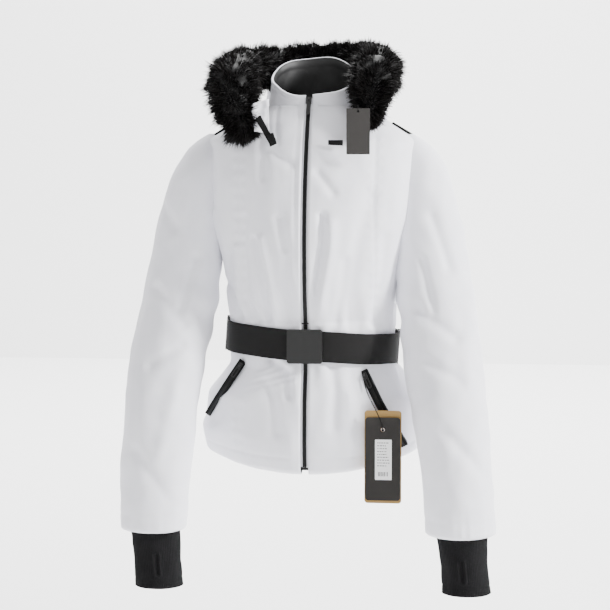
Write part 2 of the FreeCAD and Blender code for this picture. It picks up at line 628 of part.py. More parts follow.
# ---------------------------------------------------------------- retail tags on their string
cell(tag_x=128, tag_y=-208, tag_dark_top=-502, tag_kraft_top=-491, string_radius=0.8)
plate("tag_dark", "size.tag_dark_width", "size.tag_dark_height", "size.tag_thick",
      "size.tag_corner", "size.tag_hole", 20, at=V(size["tag_x"], size["tag_y"], size["tag_dark_top"]))
plate("tag_kraft", "size.tag_kraft_width", "size.tag_kraft_height", "size.tag_thick",
      "size.tag_corner", "size.tag_hole", 31,
      at=V(size["tag_x"], size["tag_y"] + 3, size["tag_kraft_top"]))
plate("tag_sticker", "size.sticker_width", "size.sticker_height", 0.3, 1,
      at=V(size["tag_x"] + 1, size["tag_y"] - 0.35, -538))
string_route = [V(97, -204, -444), V(101, -210, -459), V(111, -214, -478), V(121, -214, -497),
                V(127, -211.5, -513), V(128, -206.6, -524)]
edges, joins = [], []
runs = [(b - a).Length for a, b in zip(string_route, string_route[1:])]
begin = string_route[0]
for before, point, after, run_in, run_out in zip(string_route, string_route[1:], string_route[2:],
                                                 runs, runs[1:]):
    inward, outward = (point - before).normalize(), (after - point).normalize()
    turn_half = inward.getAngle(outward) / 2
    reach = 0.45 * min(run_in, run_out)
    bend = reach / math.tan(turn_half)
    first, last = point - inward * reach, point + outward * reach
    toward = (outward - inward).normalize()
    edges.append(Part.LineSegment(begin, first).toShape())
    edges.append(Part.Arc(first, point + toward * (bend / math.cos(turn_half) - bend), last).toShape())
    begin = last
edges.append(Part.LineSegment(begin, string_route[-1]).toShape())
string_wire = Part.Wire(edges)
section = Part.Wire([Part.makeCircle(size["string_radius"], string_route[0],
                                     string_route[1] - string_route[0])])
string = string_wire.makePipeShell([section], True, True)
expected = math.pi * size["string_radius"] ** 2 * string_wire.Length
if abs(string.Volume - expected) > 0.01 * expected:
    raise ValueError("the tag string's tube is pinched")
feature("tag_string", string)
knot_at = V(size["tag_x"], size["tag_y"] + 1.6, -522.8)
feature("tag_knot", Part.makeSphere(1.9, knot_at).cut(string))

# ---------------------------------------------------------------- check and write
doc.recompute()
for thing in doc.Objects:
    if {"Invalid", "Error"} & set(thing.State):
        raise RuntimeError(f"{thing.Label} failed: {thing.State}")
os.makedirs("parts", exist_ok=True)
for node, thing in parts.items():
    if thing.Shape.isNull() or not thing.Shape.isValid() or not thing.Shape.Solids:
        raise RuntimeError(f"{node} has no valid solid")
    thing.Shape.exportStep(f"parts/{node}.step")
print(len(parts), "pieces written")
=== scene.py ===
"""Women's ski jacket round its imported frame: padded softshell, fur-trimmed hood, belt and tags."""
import math
import bpy
import numpy as np
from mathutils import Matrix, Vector, noise


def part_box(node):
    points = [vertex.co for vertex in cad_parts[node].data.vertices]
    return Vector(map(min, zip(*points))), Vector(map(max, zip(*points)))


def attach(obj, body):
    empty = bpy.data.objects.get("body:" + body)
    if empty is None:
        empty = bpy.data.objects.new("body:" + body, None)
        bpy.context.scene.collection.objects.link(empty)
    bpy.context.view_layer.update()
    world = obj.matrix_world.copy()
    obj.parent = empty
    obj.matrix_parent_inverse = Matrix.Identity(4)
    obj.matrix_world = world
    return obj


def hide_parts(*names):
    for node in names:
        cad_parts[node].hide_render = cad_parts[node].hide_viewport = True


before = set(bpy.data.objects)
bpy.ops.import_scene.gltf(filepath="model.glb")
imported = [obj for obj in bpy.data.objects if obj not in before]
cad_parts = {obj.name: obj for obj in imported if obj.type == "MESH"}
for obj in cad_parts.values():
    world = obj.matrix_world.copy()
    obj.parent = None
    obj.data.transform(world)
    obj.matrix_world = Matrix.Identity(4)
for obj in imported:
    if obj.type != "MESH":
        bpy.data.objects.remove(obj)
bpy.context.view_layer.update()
MM = 0.001
bpy.ops.object.select_all(action="DESELECT")


# ---------------------------------------------------------------- materials
def linear(code):
    """An sRGB hex colour as linear RGBA."""
    parts = [int(code[i:i + 2], 16) / 255 for i in (1, 3, 5)]
    return [c / 12.92 if c <= 0.04045 else ((c + 0.055) / 1.055) ** 2.4 for c in parts] + [1.0]


def add(material, kind, links=(), **settings):
    """Adds a node; settings with a capital are inputs, and links are (input, node, output)."""
    made = material.node_tree.nodes.new(kind)
    for name, value in settings.items():
        label = name.replace("_", " ")
        if name[0].isupper() and label in made.inputs:
            made.inputs[label].default_value = value
        else:
            setattr(made, name, value)
    for socket, source, output in links:
        material.node_tree.links.new(source.outputs[output], made.inputs[socket])
    return made


def finish(name, colour, roughness, **sockets):
    """A principled material with a plain colour; its patterns are added after."""
    material = bpy.data.materials.new(name)
    material.use_nodes = True
    shader = material.node_tree.nodes["Principled BSDF"]
    shader.inputs["Base Color"].default_value = linear(colour)
    shader.inputs["Roughness"].default_value = roughness
    for socket, value in sockets.items():
        shader.inputs[socket.replace("_", " ")].default_value = value
    return material, shader


def tint(material, shader, pattern, low, high, output="Fac"):
    """Colours the shader between two hex colours by a pattern."""
    ramp = add(material, "ShaderNodeValToRGB", [("Fac", pattern, output)])
    ramp.color_ramp.elements[0].color = linear(low)
    ramp.color_ramp.elements[1].color = linear(high)
    material.node_tree.links.new(ramp.outputs["Color"], shader.inputs["Base Color"])
    return ramp


def relief(material, shader, height, depth_mm, output="Fac", strength=1.0):
    """Raises the surface by a pattern, to a depth in millimetres."""
    bump = add(material, "ShaderNodeBump", [("Height", height, output)], Distance=depth_mm * MM,
               Strength=strength)
    material.node_tree.links.new(bump.outputs["Normal"], shader.inputs["Normal"])
    return bump


def coordinates(material):
    """Object coordinates, in metres."""
    place = add(material, "ShaderNodeTexCoord")
    return add(material, "ShaderNodeMapping", [("Vector", place, "Object")])


def softshell():
    """Woven polyester softshell: matt, very slightly cool white, with soft hand creases whose hollows carry
    painted shade.
    """
    material, shader = finish("woven_polyester_softshell", "#EDEDF3", 0.62, Sheen_Weight=0.12,
                              Sheen_Roughness=0.5, Specular_IOR_Level=0.35)
    place = coordinates(material)
    # The threads' cells are 1.4 mm, coarser than the cloth's own, so that the weave shows.
    weave = add(material, "ShaderNodeTexVoronoi", [("Vector", place, "Vector")], Scale=1 / (1.4 * MM))
    crease = add(material, "ShaderNodeTexNoise", [("Vector", place, "Vector")], Scale=1 / (26 * MM),
                 Detail=5.0, Roughness=0.55)
    fine = relief(material, shader, weave, 0.06, "Distance", 0.35)
    soft = add(material, "ShaderNodeBump", [("Height", crease, "Fac"), ("Normal", fine, "Normal")],
               Distance=1.6 * MM, Strength=0.35)
    material.node_tree.links.new(soft.outputs["Normal"], shader.inputs["Normal"])
    # Painted shade: the cloth is tinted darker where the crease pattern is low, in the hollows of the
    # creases.
    tint(material, shader, crease, "#E9E9F1", "#F3F3F8")
    return material


def lining_cloth():
    """Black woven taffeta lining, slightly glossy along its folds."""
    material, shader = finish("black_taffeta_lining", "#0A0A0B", 0.55, Sheen_Weight=0.05)
    place = coordinates(material)
    thread = add(material, "ShaderNodeTexWave", [("Vector", place, "Vector")], Scale=1 / (3 * MM),
                 Distortion=0.6)
    relief(material, shader, thread, 0.05)
    return material


def rib_knit():
    """Black elastane rib knit, matt, with painted shade in its stitch hollows; its vertical ribs are in the
    mesh.
    """
    material, shader = finish("black_rib_knit", "#0A0A0B", 0.9, Specular_IOR_Level=0.2, Sheen_Roughness=0.6)
    place = coordinates(material)
    # Stitches are 1.6 mm high.
    stitch = add(material, "ShaderNodeTexVoronoi", [("Vector", place, "Vector")], Scale=1 / (1.6 * MM))
    relief(material, shader, stitch, 0.25, "Distance", 0.8)
    # Painted shade: each stitch is tinted darker towards its sunken middle, where the relief is lowest.
    tint(material, shader, stitch, "#060607", "#111113", "Distance")
    return material


def pile():
    """Dyed long-pile fur: near black, a little browner towards the hair tips, and darker towards the roots
    as painted shade deep in the pile.
    """
    material, shader = finish("dyed_black_fur_pile", "#060505", 0.5, Sheen_Weight=0.06,
                              Sheen_Roughness=0.35, Specular_IOR_Level=0.22)
    attribute = add(material, "ShaderNodeAttribute", attribute_name="tip")
    # Painted shade: the hairs darken from tip to root, where the pile shades itself; the browner hue of the
    # tips is the dye.
    tint(material, shader, attribute, "#020202", "#0E0B0A")
    return material


def elastic_webbing():
    """Black woven elastic webbing: a twill of 1.5 mm ribs with a satin ground."""
    material, shader = finish("black_elastic_webbing", "#0B0A0A", 0.7, Specular_IOR_Level=0.2)
    place = coordinates(material)
    rib = add(material, "ShaderNodeTexWave", [("Vector", place, "Vector")], Scale=1 / (5 * MM),
              bands_direction="Z", Distortion=0.2)
    grain = add(material, "ShaderNodeTexNoise", [("Vector", place, "Vector")], Scale=1 / (2 * MM))
    relief(material, shader, rib, 0.25, "Fac", 0.8)
    tint(material, shader, grain, "#080808", "#111010")
    return material


def tape():
    """Black woven polyester tape, for zips, straps and piping."""
    material, shader = finish("black_woven_tape", "#070707", 0.8, Specular_IOR_Level=0.2)
    place = coordinates(material)
    herringbone = add(material, "ShaderNodeTexWave", [("Vector", place, "Vector")], Scale=1 / (4 * MM),
                      bands_direction="DIAGONAL")
    relief(material, shader, herringbone, 0.12)
    return material


def coil_teeth():
    """Moulded black acetal zip teeth."""
    return finish("moulded_black_acetal", "#050506", 0.5, Specular_IOR_Level=0.25)[0]


def lacquer():
    """Die-cast zinc under satin black lacquer, with faint wear in its gloss."""
    material, shader = finish("satin_black_lacquered_zinc", "#060606", 0.45, Coat_Weight=0.05,
                              Coat_Roughness=0.2)
    place = coordinates(material)
    wear = add(material, "ShaderNodeTexNoise", [("Vector", place, "Vector")], Scale=1 / (9 * MM),
               Detail=6.0)
    spread = add(material, "ShaderNodeMapRange", [("Value", wear, "Fac")])
    spread.inputs["To Min"].default_value = 0.24
    spread.inputs["To Max"].default_value = 0.44
    material.node_tree.links.new(spread.outputs["Result"], shader.inputs["Roughness"])
    return material


def card(name, low, high, roughness=0.85):
    """Uncoated card: fibres in two close tones."""
    material, shader = finish(name, high, roughness)
    place = coordinates(material)
    fibre = add(material, "ShaderNodeTexNoise", [("Vector", place, "Vector")], Scale=1 / (1.2 * MM),
                Detail=4.0)
    tint(material, shader, fibre, low, high)
    relief(material, shader, fibre, 0.05, "Fac", 0.5)
    return material


WHITE, LINING, KNIT, FUR = softshell(), lining_cloth(), rib_knit(), pile()
WEBBING, TAPE, TEETH, LACQUER = elastic_webbing(), tape(), coil_teeth(), lacquer()
KRAFT = card("kraft_card", "#8A6C3C", "#A0814E")
DARK = card("dyed_black_card", "#1A1816", "#24211F")
GREY = card("grey_card", "#2B2927", "#343130")
LABEL = card("coated_label_paper", "#E4E4E4", "#EFEFEF", 0.5)
PRINT = finish("black_print", "#2A2A2A", 0.6)[0]


# ---------------------------------------------------------------- mesh helpers
def mesh_piece(name, points, faces, materials, smooth=True):
    """A mesh object at the origin, with its points in metres."""
    mesh = bpy.data.meshes.new(name)
    mesh.from_pydata([tuple(p) for p in points], [], faces)
    for material in materials:
        mesh.materials.append(material)
    mesh.polygons.foreach_set("use_smooth", [smooth] * len(mesh.polygons))
    mesh.update()
    piece = bpy.data.objects.new(name, mesh)
    bpy.context.scene.collection.objects.link(piece)
    return piece


def grid_faces(rows, columns, closed):
    """Quads over a grid of rows by columns, round again to the first column if closed."""
    wide = columns if closed else columns - 1
    r, c = np.meshgrid(np.arange(rows - 1), np.arange(wide), indexing="ij")
    n = (c + 1) % columns
    return np.stack([r * columns + c, r * columns + n, (r + 1) * columns + n, (r + 1) * columns + c],
                    axis=-1).reshape(-1, 4).tolist()


def apply(piece, kind, **settings):
    """Adds a modifier and applies it at once."""
    bpy.ops.object.select_all(action="DESELECT")
    bpy.context.view_layer.objects.active = piece
    piece.select_set(True)
    modifier = piece.modifiers.new(kind.title(), kind)
    for name, value in settings.items():
        setattr(modifier, name, value)
    bpy.ops.object.modifier_apply(modifier=modifier.name)
    piece.select_set(False)


def outward(piece):
    """Turns a closed or open shell's faces outwards."""
    bpy.ops.object.select_all(action="DESELECT")
    bpy.context.view_layer.objects.active = piece
    piece.select_set(True)
    bpy.ops.object.mode_set(mode="EDIT")
    bpy.ops.mesh.select_all(action="SELECT")
    bpy.ops.mesh.normals_make_consistent(inside=False)
    bpy.ops.object.mode_set(mode="OBJECT")
    piece.select_set(False)


def eased(table, levels, blur):
    """A table of values by level, read at many levels and softened over a distance."""
    table = np.array(sorted(table), float)
    dense = np.linspace(table[0, 0] - 4 * blur, table[-1, 0] + 4 * blur, 1200)
    step = dense[1] - dense[0]
    kernel = np.exp(-0.5 * (np.arange(-3 * blur, 3 * blur + step, step) / blur) ** 2)
    kernel /= kernel.sum()
    out = []
    for column in range(1, table.shape[1]):
        values = np.interp(dense, table[:, 0], table[:, column])
        padded = np.pad(values, len(kernel) // 2, mode="edge")
        out.append(np.interp(levels, dense, np.convolve(padded, kernel, mode="valid")[:len(dense)]))
    return out


def crumple(points, size_mm, seed):
    """A smooth signed pattern over points, from -1 to 1."""
    shift = Vector((seed * 7.3, seed * 3.1, seed * 5.7))
    return np.array([noise.noise(Vector(p) / size_mm + shift) for p in points])


# ---------------------------------------------------------------- torso
# Level, half width, front and back of the body, in millimetres, from the hem to the neck.
TORSO = [(-606, 179, -206, 38), (-545, 184, -212, 42), (-480, 178, -210, 36), (-428, 139, -196.4, 14),
         (-346, 138, -198, 14), (-300, 143, -208.6, 18), (-245, 152, -214.6, 24), (-185, 168, -213.1, 28),
         (-115, 180, -200.5, 26), (-56, 178, -180.5, 20), (-28, 134, -161, 16), (2, 78, -141, 8)]
SHOULDER_LEAN = 0.117
# Folds of the front: a line across and up, its half width and its depth; a negative depth is a ridge.
FOLDS = [
    ([(-144, -242), (-140, -284), (-133, -309), (-119, -347)], 5, 3.2),
    ([(-160, -275), (-133, -309)], 4, 2.0),
    ([(-116, -183), (-113, -284), (-104, -340)], 8, 2.6),
    ([(-126, -230), (-124, -340)], 7, -2.2),
    ([(-96, -215), (-82, -281), (-72, -346)], 6, 4.2),
    ([(-86, -215), (-72, -281), (-60, -346)], 8, -3.0),
    ([(-55, -181), (-42, -250), (-37, -307), (-34, -346)], 8, 3.0),
    ([(-44, -240), (-28, -300), (-26, -346)], 8, -2.2),
    ([(14, -176), (15, -217), (4, -281), (-13, -352)], 6, 4.6),
    ([(28, -190), (28, -226), (19, -281), (3, -350)], 10, -3.2),
    ([(52, -250), (46, -300), (40, -350)], 9, 2.2),
    ([(7, -106), (32, -139)], 7, 2.4),
    ([(-71, -72), (-35, -94)], 7, 2.2),
    ([(-83, -57), (-82, -114)], 8, 2.4),
    ([(-171, -66), (-170, -165)], 8, 2.4),
    ([(-62, 6), (-57, -62)], 2.4, 1.6),
    ([(-74, -412), (-45, -430), (-40, -470)], 6, 3.4),
    ([(-62, -404), (-28, -430), (-24, -480)], 7, -2.4),
    ([(-79, -450), (-64, -489), (-60, -530)], 8, 2.4),
    ([(30, -415), (36, -460), (34, -520)], 9, 2.4),
    ([(66, -415), (80, -450)], 7, 2.2),
    ([(96, -150), (70, -230), (60, -345)], 14, 2.2),
    ([(120, -215), (112, -290), (98, -350)], 9, 2.4),
]


def distance(u, z, line):
    """Distances in the plane from points to a line of short runs."""
    best = np.full(u.shape, 1e9)
    for (ax, az), (bx, bz) in zip(line, line[1:]):
        dx, dz = bx - ax, bz - az
        along = np.clip(((u - ax) * dx + (z - az) * dz) / (dx * dx + dz * dz), 0, 1)
        best = np.minimum(best, np.hypot(u - ax - along * dx, z - az - along * dz))
    return best


def belt_middle(x):
    """The belt's middle level at a place across; it drops towards the wearer's left."""
    return -388 - 0.0699 * x


pocket_arcs = []
for side in ("right", "left"):
    spots = np.array([v.co for v in bpy.data.objects[f"pocket_zip_tape_{side}"].data.vertices]) / MM
    pocket_arcs.append(spots[:, [0, 2]])
arc_spots = np.concatenate(pocket_arcs)


def near_pockets(x, z, y):
    """1 beside the pocket zips and 0 away from them."""
    near = np.full(x.shape, 1e9)
    for ax, az in arc_spots[::3]:
        near = np.minimum(near, np.hypot(x - ax, z - az))
    near = np.where(y < -60, near, 1e9)
    return np.exp(-np.clip(near - 15, 0, None) ** 2 / (2 * 9 ** 2))


GAP, COLUMNS, ROWS = 6.4, 260, 190
# The front zip lies on one arc in the middle plane, between these levels.
ZIP_RADIUS, ZIP_CENTRE_Y, ZIP_CENTRE_Z = 435, 220, -226
ZIP_ARC_LOW, ZIP_ARC_TOP = -352, 16
rise = np.linspace(0, 1, ROWS)
levels = -592 + rise * 594
half, front, back = eased(TORSO, levels, 5)
zip_depth = ZIP_CENTRE_Y - np.sqrt(np.clip(ZIP_RADIUS ** 2 - (levels - ZIP_CENTRE_Z) ** 2, 0, None))
arc = np.where((levels > ZIP_ARC_LOW) & (levels < ZIP_ARC_TOP), zip_depth, front)
front = np.where(levels > ZIP_ARC_LOW, arc, front)
start = np.arcsin(np.clip(GAP / half, 0, 1))
turn = start[:, None] + np.linspace(0, 1, COLUMNS)[None, :] * (2 * math.pi - 2 * start[:, None])
middle, depth = (front + back) / 2, (back - front) / 2
x = half[:, None] * np.sin(turn)
y = middle[:, None] - depth[:, None] * np.cos(turn)
z = np.repeat(levels[:, None], COLUMNS, axis=1)
out_x = depth[:, None] * np.sin(turn)
out_y = -half[:, None] * np.cos(turn)
long = np.hypot(out_x, out_y)
out_x, out_y = out_x / long, out_y / long

flat_points = np.stack([x, y, z], -1).reshape(-1, 3)
soft = crumple(flat_points * [1, 1, 0.45], 62, 1).reshape(x.shape)
small = crumple(flat_points * [1, 1, 0.55], 24, 2).reshape(x.shape)
across = x + (y + 85) * SHOULDER_LEAN
push = 3.4 * soft + 1.5 * small
facing = np.clip((-60 - y) / 50, 0, 1)
for line, width, fold in FOLDS:
    gap = distance(across, z, line)
    push -= 1.9 * facing * fold * np.exp(-(gap / width) ** 2)
# Gathers above and below the belt, all round.
off_belt = z - belt_middle(x)
step_x = np.diff(x, axis=1, prepend=x[:, :1])
step_y = np.diff(y, axis=1, prepend=y[:, :1])
arc_length = np.cumsum(np.hypot(step_x, step_y), 1)
belt_side = np.where(off_belt > 0, 40.0, 0.0) + 0 * z
gather_points = np.stack([arc_length, 0.12 * z, belt_side], -1).reshape(-1, 3)
gather = crumple(gather_points, 17, 3).reshape(x.shape)
fade = np.exp(-(np.clip(np.abs(off_belt) - 26, 0, None) / np.where(off_belt > 0, 55, 42)) ** 2)
push += 5.5 * gather * fade
# Fullness under the belt, and a bubble along the hem.
push += 3.0 * np.exp(-((z + 545) / 38) ** 2) + 4 * np.exp(-((z + 440) / 16) ** 2) * (1 - facing * 0.6)
# The body stays behind the belt and the pocket zips, and level beside the front zip.
under_belt = np.exp(-(np.clip(np.abs(off_belt) - 24, 0, None) / 7) ** 2)
push = push * (1 - under_belt) + under_belt * np.minimum(push, 0.6)
calm = near_pockets(x, z, y)
push = push * (1 - calm) - 1.6 * calm
beside = np.exp(-((np.abs(x) - GAP) / 9) ** 2) * (y < -60)
push = push * (1 - beside) + beside * 0.4
# A fold runs beside the zip above the belt, and the neck edge tucks in under the collar.
push -= 1.7 * np.exp(-((x + 15) / 1.6) ** 2) * (y < -60) * (z > -352)
push -= 5.5 * np.clip((z + 26) / 26, 0, 1)
# Side seams, the armhole's edge and the hem's stitching pucker the cloth a little.
for seam_x, seam_front in ((112, True), (128, False)):
    line_gap = np.abs(np.abs(x) - seam_x)
    here = (y < -60) if seam_front else (y > -40)
    keep_off = (1 - calm) * (1 - under_belt)
    push -= 1.5 * np.exp(-(line_gap / 2.2) ** 2) * here * keep_off
    push += 0.7 * np.exp(-((line_gap - 6) / 4) ** 2) * np.sin(z / 3.1) * here * keep_off
hem_line = 28 * np.clip(np.abs(x) / 184, 0, 1) ** 2 * np.exp(-(levels[:, None] + 592) / 70)
z = z + hem_line
stitch = np.exp(-((z - hem_line + 572) / 2.0) ** 2)
push -= 1.4 * stitch
x, y = x + out_x * push, y + out_y * push
# The hem turns in under itself.
turns = [(3, -5), (9, -9), (18, -8), (26, 0), (29, 14), (30, 34)]
rows = [(x, y, z)]
for inward, drop in turns:
    rows.insert(0, (x[:1] - out_x[:1] * inward, y[:1] - out_y[:1] * inward, z[:1] + drop * 0.8))
x, y, z = (np.concatenate([r[i] for r in rows]) for i in range(3))
body_rows = x.shape[0]
body = mesh_piece("body_shell", np.stack([x, y, z], -1).reshape(-1, 3) * MM,
                  grid_faces(body_rows, COLUMNS, False), [WHITE, LINING])
apply(body, "SOLIDIFY", thickness=2.2 * MM, offset=-1, material_offset=1, material_offset_rim=0)
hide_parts("front_panel_right", "front_panel_left", "side_panel_right", "side_panel_left",
            "back_panel", "body_wadding", "body_lining")
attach(body, "shell")


# ---------------------------------------------------------------- sleeves and cuffs
# Level, depth in y, half width, and the right and left sleeves' middles.
SLEEVE = [(-46, -82, 20, -181, 172), (-105, -84, 50, -186, 178), (-190, -90, 58, -203, 190),
          (-250, -100, 60, -212, 201), (-320, -118, 64, -221, 209), (-400, -150, 64, -232, 220),
          (-489, -182, 61, -241, 235), (-585, -202, 59, -246, 247), (-686, -214, 56, -248, 256)]
SLEEVE_FOLDS = {
    "right": [([(-262, -150), (-232, -200)], 9, 2.4), ([(-196, -250), (-218, -330)], 9, 3.0),
              ([(-262, -300), (-214, -352)], 10, 2.8), ([(-270, -420), (-216, -390)], 9, 2.4),
              ([(-222, -440), (-250, -560)], 12, -2.2), ([(-290, -560), (-232, -640)], 11, 2.4)],
    "left": [([(196, -180), (226, -260)], 10, 2.6), ([(176, -250), (196, -330)], 8, 3.0),
             ([(170, -330), (232, -372)], 10, 3.0), ([(182, -410), (240, -440)], 10, 2.4),
             ([(262, -300), (250, -440)], 13, -2.2), ([(212, -520), (282, -590)], 11, 2.6)],
}


def sleeve(side):
    """One sleeve: a padded tube whose cap sinks into the shoulder and whose end turns in."""
    rows, columns = 170, 132
    table = [(s[0], s[1], s[2], s[3] if side == "right" else s[4]) for s in SLEEVE]
    levels = np.concatenate([np.linspace(-44, -90, 22), np.linspace(-92, -686, rows - 22)])
    depth, half, middle = eased(table, levels, 9)
    cap = np.clip((levels + 44) / -86, 0, 1)
    half = np.where(levels > -130, 52.5 * np.clip(1 - (1 - cap) ** 1.7, 0.02, 1) ** 0.62, half)
    lean = (10 if side == "right" else -10) * np.clip((levels + 100) / 56, 0, 1)
    middle = middle + lean
    angle = np.linspace(0, 2 * math.pi, columns, endpoint=False)
    x = middle[:, None] + half[:, None] * np.cos(angle)
    y = depth[:, None] + 0.96 * half[:, None] * np.sin(angle)
    z = np.repeat(levels[:, None], columns, axis=1)
    points = np.stack([x, y, z], -1).reshape(-1, 3)
    seed = 11 if side == "right" else 17
    push = 4.2 * crumple(points * [1, 1, 0.6], 66, seed).reshape(x.shape)
    push += 1.7 * crumple(points * [1, 1, 0.8], 26, seed + 1).reshape(x.shape)
    across = x + (y + 85) * SHOULDER_LEAN
    facing = np.clip((depth[:, None] - y + 6) / 30, 0, 1)
    for line, width, fold in SLEEVE_FOLDS[side]:
        push -= 1.7 * facing * fold * np.exp(-(distance(across, z, line) / width) ** 2)
    # Rings of soft creases behind and inside the elbow.
    inner = 1 if side == "right" else -1
    elbow = np.exp(-((z + 330) / 70) ** 2) * np.clip(0.4 + 0.6 * inner * np.cos(angle), 0, 1)
    push += 2.2 * elbow * np.sin(z / 9 + 1.4 * np.cos(2 * angle) + seed)
    # The seam under the arm, and the gathered band at the sleeve's end.
    seam = np.abs(np.angle(np.exp(1j * (angle - (0.35 if side == "right" else math.pi - 0.35)))))
    push -= 1.3 * np.exp(-(seam * 60 / 2.2) ** 2)
    band = np.exp(-np.clip(z + 686, 0, None) / 20)
    round_end = np.stack([60 * np.cos(angle), 60 * np.sin(angle), 0 * angle], -1)
    push += band * (1.4 * crumple(round_end, 9, seed) - 1.0)
    push -= 1.5 * np.exp(-((z + 664) / 2.0) ** 2)
    push *= np.clip((-50 - z) / 20, 0, 1)
    x, y = x + push * np.cos(angle), y + push * np.sin(angle)
    for inward, up in ((3, -3), (8, -5), (12, -2), (14, 6), (14.5, 22), (14.5, 60)):
        x = np.concatenate([x, (x[rows - 1] - inward * np.cos(angle))[None]])
        y = np.concatenate([y, (y[rows - 1] - inward * np.sin(angle))[None]])
        z = np.concatenate([z, np.full((1, columns), -686.0 + up)])
    faces = grid_faces(x.shape[0], columns, True) + [list(range(columns))]
    tube = mesh_piece(f"sleeve_{side}", np.stack([x, y, z], -1).reshape(-1, 3) * MM, faces,
                      [WHITE, LINING])
    outward(tube)
    inside = (x.shape[0] - 4) * columns
    for face in tube.data.polygons:
        if min(face.vertices) >= inside:
            face.material_index = 1
    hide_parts(f"sleeve_shell_{side}", f"sleeve_wadding_{side}", f"sleeve_lining_{side}")
    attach(tube, f"{side}_sleeve")
    return tube


def cuff(side):
    """One knit cuff: fine ribs round a soft tube, with a bound thumb slot and a folded end."""
    top_x, low_x = (-248, -240) if side == "right" else (256, 265)
    rows, columns, ribs = 64, 480, 80
    levels = np.concatenate([np.linspace(-650, -782, rows), [-783.5, -784, -783, -778, -760]])
    drop = np.clip((levels + 668) / -116, 0, 1)
    half = 43 - 3.5 * drop - 2.2 * np.sin(drop * math.pi)
    half[-5:] += [0.3, -0.8, -2.2, -3.0, -3.2]
    angle = np.linspace(0, 2 * math.pi, columns, endpoint=False)
    rib = 0.55 * np.abs(np.sin(ribs * angle / 2)) - 0.4
    seed = 23 if side == "right" else 29
    centre = top_x + (low_x - top_x) * drop
    x = centre[:, None] + half[:, None] * np.cos(angle)
    y = -214.5 - 1.5 * drop[:, None] + half[:, None] * 0.96 * np.sin(angle)
    z = np.repeat(levels[:, None], columns, axis=1)
    wave = crumple(np.stack([x, y, z * 0.7], -1).reshape(-1, 3), 34, seed).reshape(x.shape)
    ripple = crumple(np.stack([x, y, z], -1).reshape(-1, 3), 15, seed).reshape(x.shape)
    push = rib[None, :] + 3.4 * wave * np.sin(drop * math.pi)[:, None] + 0.9 * ripple
    # The thumb slot is a bound slit in the front; it shows as a raised edge round a dark line.
    slot_x = centre[:, None] + (6 if side == "right" else -2)
    slot_gap = distance(x - slot_x, z, [(0, -728), (0, -758)])
    front = y < -230
    push += front * (1.6 * np.exp(-((slot_gap - 5) / 1.8) ** 2) - 2.4 * np.exp(-(slot_gap / 2.6) ** 2))
    push -= 0.9 * np.exp(-((z + 772) / 1.2) ** 2)
    x, y = x + push * np.cos(angle), y + push * np.sin(angle)
    tube = mesh_piece(f"knit_cuff_{side}", np.stack([x, y, z], -1).reshape(-1, 3) * MM,
                      grid_faces(len(levels), columns, True), [KNIT])
    outward(tube)
    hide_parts(f"cuff_{side}")
    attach(tube, f"{side}_sleeve")
    return tube


for side in ("right", "left"):
    sleeve(side)
    cuff(side)


# ---------------------------------------------------------------- collar
def collar():
    """The raised collar: white outside, rolled over its edge to a black lining, open at the front."""
    rows, columns = 40, 200
    table = [(-72, 86, -176, 15), (18, 74, -140, 10.5), (92, 72, -136, 9)]
    turn = np.linspace(0, 1, columns)
    start = 6 / 78
    angle = start + turn * (2 * math.pi - 2 * start)
    guess = np.full(columns, 40.0)
    for _ in range(6):
        half, front, back = eased(table, guess, 6)
        y_edge = (front + back) / 2 - (back - front) / 2 * np.cos(angle)
        guess = 17 + (y_edge + 141) * math.tan(math.radians(24))
    top = guess + 1.5 * np.sin(5 * angle + 0.4)
    low = -66.0
    share = np.linspace(0, 1, rows)
    outside = low + share[:, None] * (top[None, :] - low)
    half, front, back = (v.reshape(outside.shape) for v in eased(table, outside.ravel(), 6))
    middle, depth = (front + back) / 2, (back - front) / 2
    x, y = half * np.sin(angle), middle - depth * np.cos(angle)
    nx, ny = depth * np.sin(angle), -half * np.cos(angle)
    long = np.hypot(nx, ny)
    nx, ny = nx / long, ny / long
    points = np.stack([x, y, outside], -1).reshape(-1, 3)
    push = 1.8 * crumple(points, 46, 31).reshape(x.shape) + 0.7 * crumple(points, 18, 32).reshape(x.shape)
    push -= 1.0 * np.exp(-((outside - top + 7) / 1.6) ** 2)
    beside = np.exp(-((np.abs(x) - 6) / 10) ** 2) * (y < -60)
    push = push * (1 - beside) - 0.4
    px, py, pz = x + nx * push, y + ny * push, outside
    sheets = [(px, py, pz)]
    edge = (px[-1:], py[-1:], pz[-1:])
    for inward, up in ((0.8, 1.4), (2.4, 2.0), (4.0, 1.2), (4.8, -0.8)):
        sheets.append((edge[0] - nx[-1:] * inward, edge[1] - ny[-1:] * inward, edge[2] + up))
    for k in range(1, rows - 4):
        r = rows - 1 - k
        sheets.append((px[r:r + 1] - nx[r:r + 1] * 5.2, py[r:r + 1] - ny[r:r + 1] * 5.2, pz[r:r + 1] - 1))
    x, y, z = (np.concatenate([s[i] for s in sheets]) for i in range(3))
    ring = mesh_piece("collar", np.stack([x, y, z], -1).reshape(-1, 3) * MM,
                      grid_faces(x.shape[0], columns, False), [WHITE, LINING])
    for number, face in enumerate(ring.data.polygons):
        face.material_index = 1 if number // (columns - 1) >= rows + 2 else 0
    apply(ring, "SOLIDIFY", thickness=0.8 * MM, offset=-1)
    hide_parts("collar_outer", "collar_lining")
    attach(ring, "shell")
    return ring


collar()


# ---------------------------------------------------------------- hood: fur trim and folded cloth
# The trim's middle line and radius, from the right front end round the back to the left front end.
TRIM = [(-104, -170, -32, 32), (-120, -162, 4, 44), (-128, -134, 42, 49), (-126, -76, 60, 49),
        (-102, -4, 68, 45), (-54, 48, 76, 41), (0, 66, 80, 40), (56, 52, 80, 42), (94, 0, 74, 45),
        (106, -70, 64, 48), (104, -126, 46, 47), (102, -156, 12, 38), (100, -166, -16, 24)]
PILE_MM, STRANDS = 27, 24000


